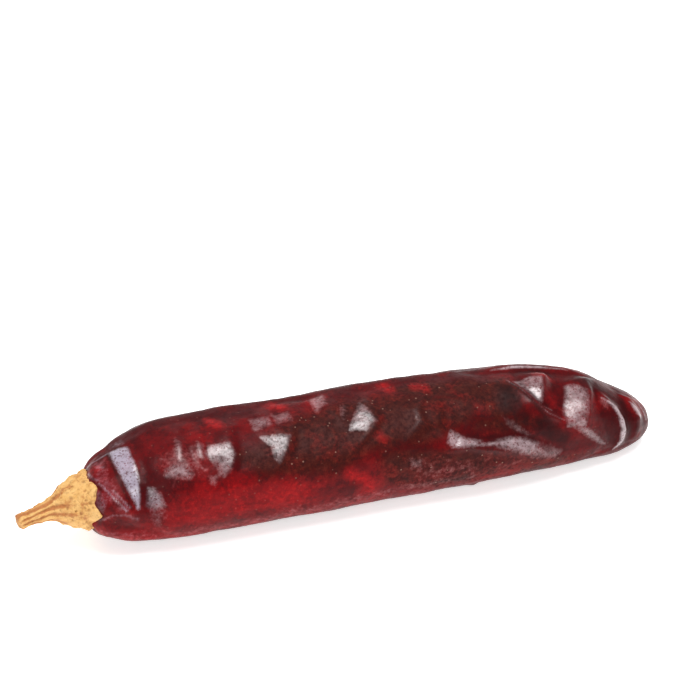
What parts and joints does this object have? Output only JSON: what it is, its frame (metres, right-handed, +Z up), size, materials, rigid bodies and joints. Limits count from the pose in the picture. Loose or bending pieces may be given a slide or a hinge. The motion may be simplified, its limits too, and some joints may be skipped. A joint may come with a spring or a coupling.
{
  "type": "dried chilli pepper",
  "caption": "Whole dried red chilli pepper lying on its side, a long wrinkled pod with folded leathery skin and a dry woody calyx and stalk.",
  "frame": {"origin": "middle of the bounding box at the surface that the pepper lies on", "axes": "+X along the pod from the stalk to the tip, +Z up from the surface it lies on"},
  "size_m": [0.156, 0.0318, 0.0251],
  "materials": {
    "dried_skin": "semi-gloss dried skin, dark maroon with brighter red thin patches",
    "dry_wood": "matt dry straw-coloured fibre with brown lines"
  },
  "bodies": {
    "root": {"pod": "dried_skin", "calyx_stalk": "dry_wood"}
  },
  "joints": []
}
